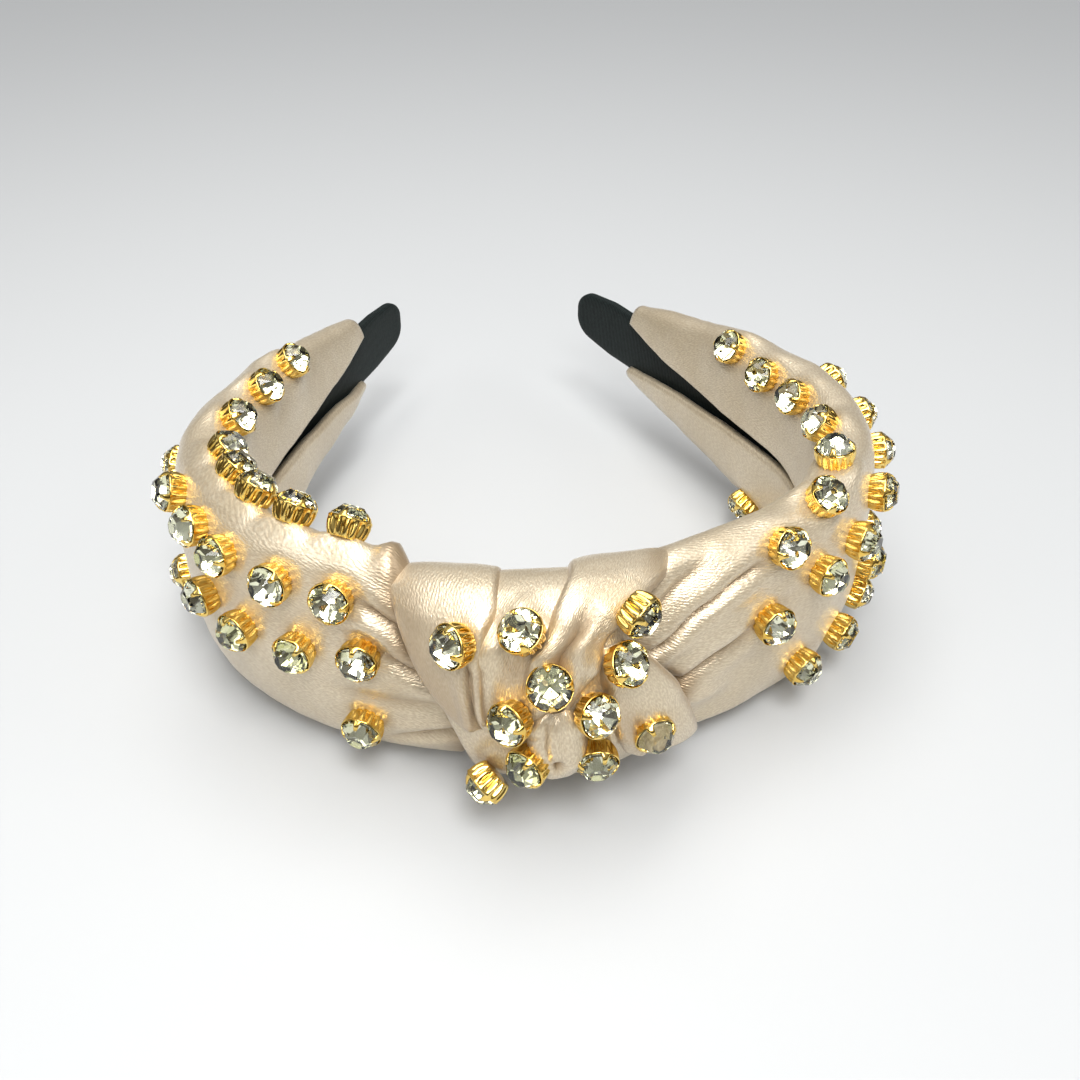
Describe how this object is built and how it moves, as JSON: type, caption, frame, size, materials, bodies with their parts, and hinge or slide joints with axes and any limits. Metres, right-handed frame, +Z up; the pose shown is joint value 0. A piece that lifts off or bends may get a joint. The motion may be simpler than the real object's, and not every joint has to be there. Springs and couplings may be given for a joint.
{
  "type": "knotted headband",
  "caption": "Padded satin headband with a knot at the crown, a black ribbon-wrapped springy core and round crystals in fluted gold cups sewn over the knot and both arms.",
  "frame": {"origin": "on the surface that the band lies on, under the middle of the whole object", "axes": "+Z up with the band lying on its side, +Y from the knot towards the two tips, +X towards the right arm seen from the knot"},
  "size_m": [0.1539, 0.1642, 0.0539],
  "materials": {
    "satin": "champagne satin with a fine twill",
    "black_ribbon": "matt black ribbon",
    "core_plastic": "moulded plastic strip",
    "foam": "soft white foam",
    "gold_cup": "polished yellow gold plate",
    "crystal": "cut glass with a pale champagne tint"
  },
  "bodies": {
    "crown": {"band_core_crown": "core_plastic", "ribbon_wrap_crown": "black_ribbon", "knot_wrap_left": "satin", "knot_wrap_centre": "satin", "knot_wrap_right": "satin", "knot_fold_lower_right": "satin", "knot_tongue": "satin", "satin_gather_left": "satin", "satin_gather_right": "satin", "foam_gather_left": "foam", "foam_gather_right": "foam", "crystal_upper_left_first": "crystal", "crystal_front_high_left_first": "crystal", "crystal_front_low_left_first": "crystal", "crystal_lower_left_first": "crystal", "crystal_upper_right_first": "crystal", "crystal_front_high_right_first": "crystal", "knot_crystal_cup_01": "gold_cup", "knot_crystal_stone_01": "crystal", "knot_crystal_cup_02": "gold_cup", "knot_crystal_stone_02": "crystal", "knot_crystal_cup_03": "gold_cup", "knot_crystal_stone_03": "crystal", "knot_crystal_cup_04": "gold_cup", "knot_crystal_stone_04": "crystal", "knot_crystal_cup_05": "gold_cup", "knot_crystal_stone_05": "crystal", "knot_crystal_cup_06": "gold_cup", "knot_crystal_stone_06": "crystal", "knot_crystal_cup_07": "gold_cup", "knot_crystal_stone_07": "crystal", "knot_crystal_cup_08": "gold_cup", "knot_crystal_stone_08": "crystal", "knot_crystal_cup_09": "gold_cup", "knot_crystal_stone_09": "crystal", "knot_crystal_cup_10": "gold_cup", "knot_crystal_stone_10": "crystal", "knot_crystal_cup_11": "gold_cup", "knot_crystal_stone_11": "crystal"},
    "left_arm": {"band_core_left": "core_plastic", "ribbon_wrap_left": "black_ribbon", "foam_pad_left": "foam", "satin_cover_left": "satin", "crystal_row_upper_left": "crystal", "crystal_row_front_high_left": "crystal", "crystal_row_front_low_left": "crystal", "crystal_row_lower_left": "crystal"},
    "right_arm": {"band_core_right": "core_plastic", "ribbon_wrap_right": "black_ribbon", "foam_pad_right": "foam", "satin_cover_right": "satin", "crystal_row_upper_right": "crystal", "crystal_row_front_high_right": "crystal", "crystal_row_front_low_right": "crystal", "crystal_row_lower_right": "crystal"}
  },
  "joints": [
    {"name": "left_arm_flex", "type": "hinge", "parent": "crown", "child": "left_arm", "pos_m": [-0.03931, -0.04735, 0.02581], "axis": [0, 0, 1], "range_deg": [-3, 10], "stiffness_Nm_per_rad": 1.3},
    {"name": "right_arm_flex", "type": "hinge", "parent": "crown", "child": "right_arm", "pos_m": [0.03931, -0.04735, 0.02581], "axis": [0, 0, -1], "range_deg": [-3, 10], "stiffness_Nm_per_rad": 1.3}
  ]
}
